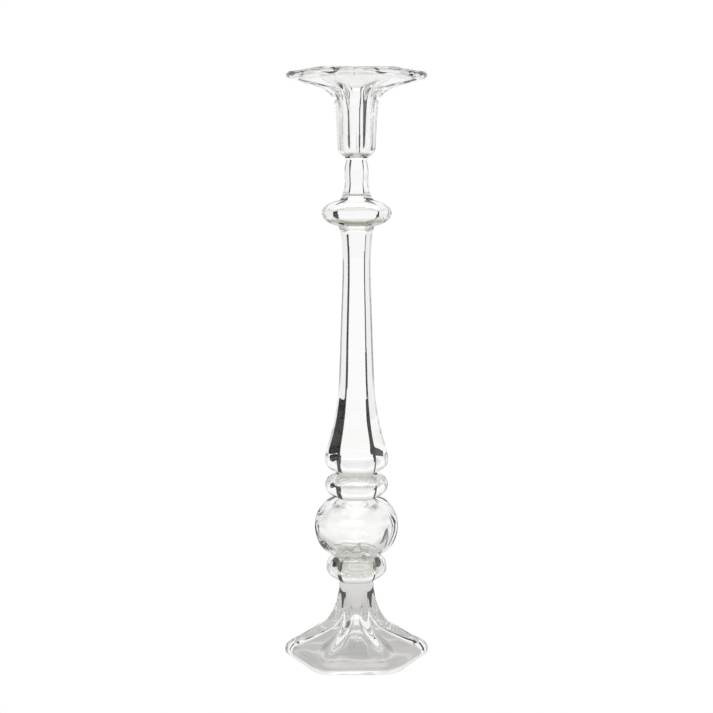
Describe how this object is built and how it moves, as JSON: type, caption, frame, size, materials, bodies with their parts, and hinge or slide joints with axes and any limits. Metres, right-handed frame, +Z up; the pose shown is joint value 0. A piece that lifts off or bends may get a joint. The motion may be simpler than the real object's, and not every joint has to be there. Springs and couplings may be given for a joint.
{
  "type": "candlestick",
  "caption": "Tall six-sided clear glass candlestick with a flared drip pan, a baluster shaft, ring knops, a hollow ball knop and a spreading foot.",
  "frame": {"origin": "on the axis, on the surface the foot stands on", "axes": "+Z up along the stem's axis, +X towards a corner of the hexagonal sections, -Y out of a flat face"},
  "size_m": [0.1252, 0.1156, 0.5],
  "materials": {
    "clear_glass": "fire-polished clear glass with a very faint green tint"
  },
  "bodies": {
    "root": {"candle_socket": "clear_glass", "wafer": "clear_glass", "neck": "clear_glass", "upper_collar": "clear_glass", "baluster_shaft": "clear_glass", "ring_knop": "clear_glass", "ball_knop": "clear_glass", "lower_knop": "clear_glass", "foot": "clear_glass"}
  },
  "joints": []
}
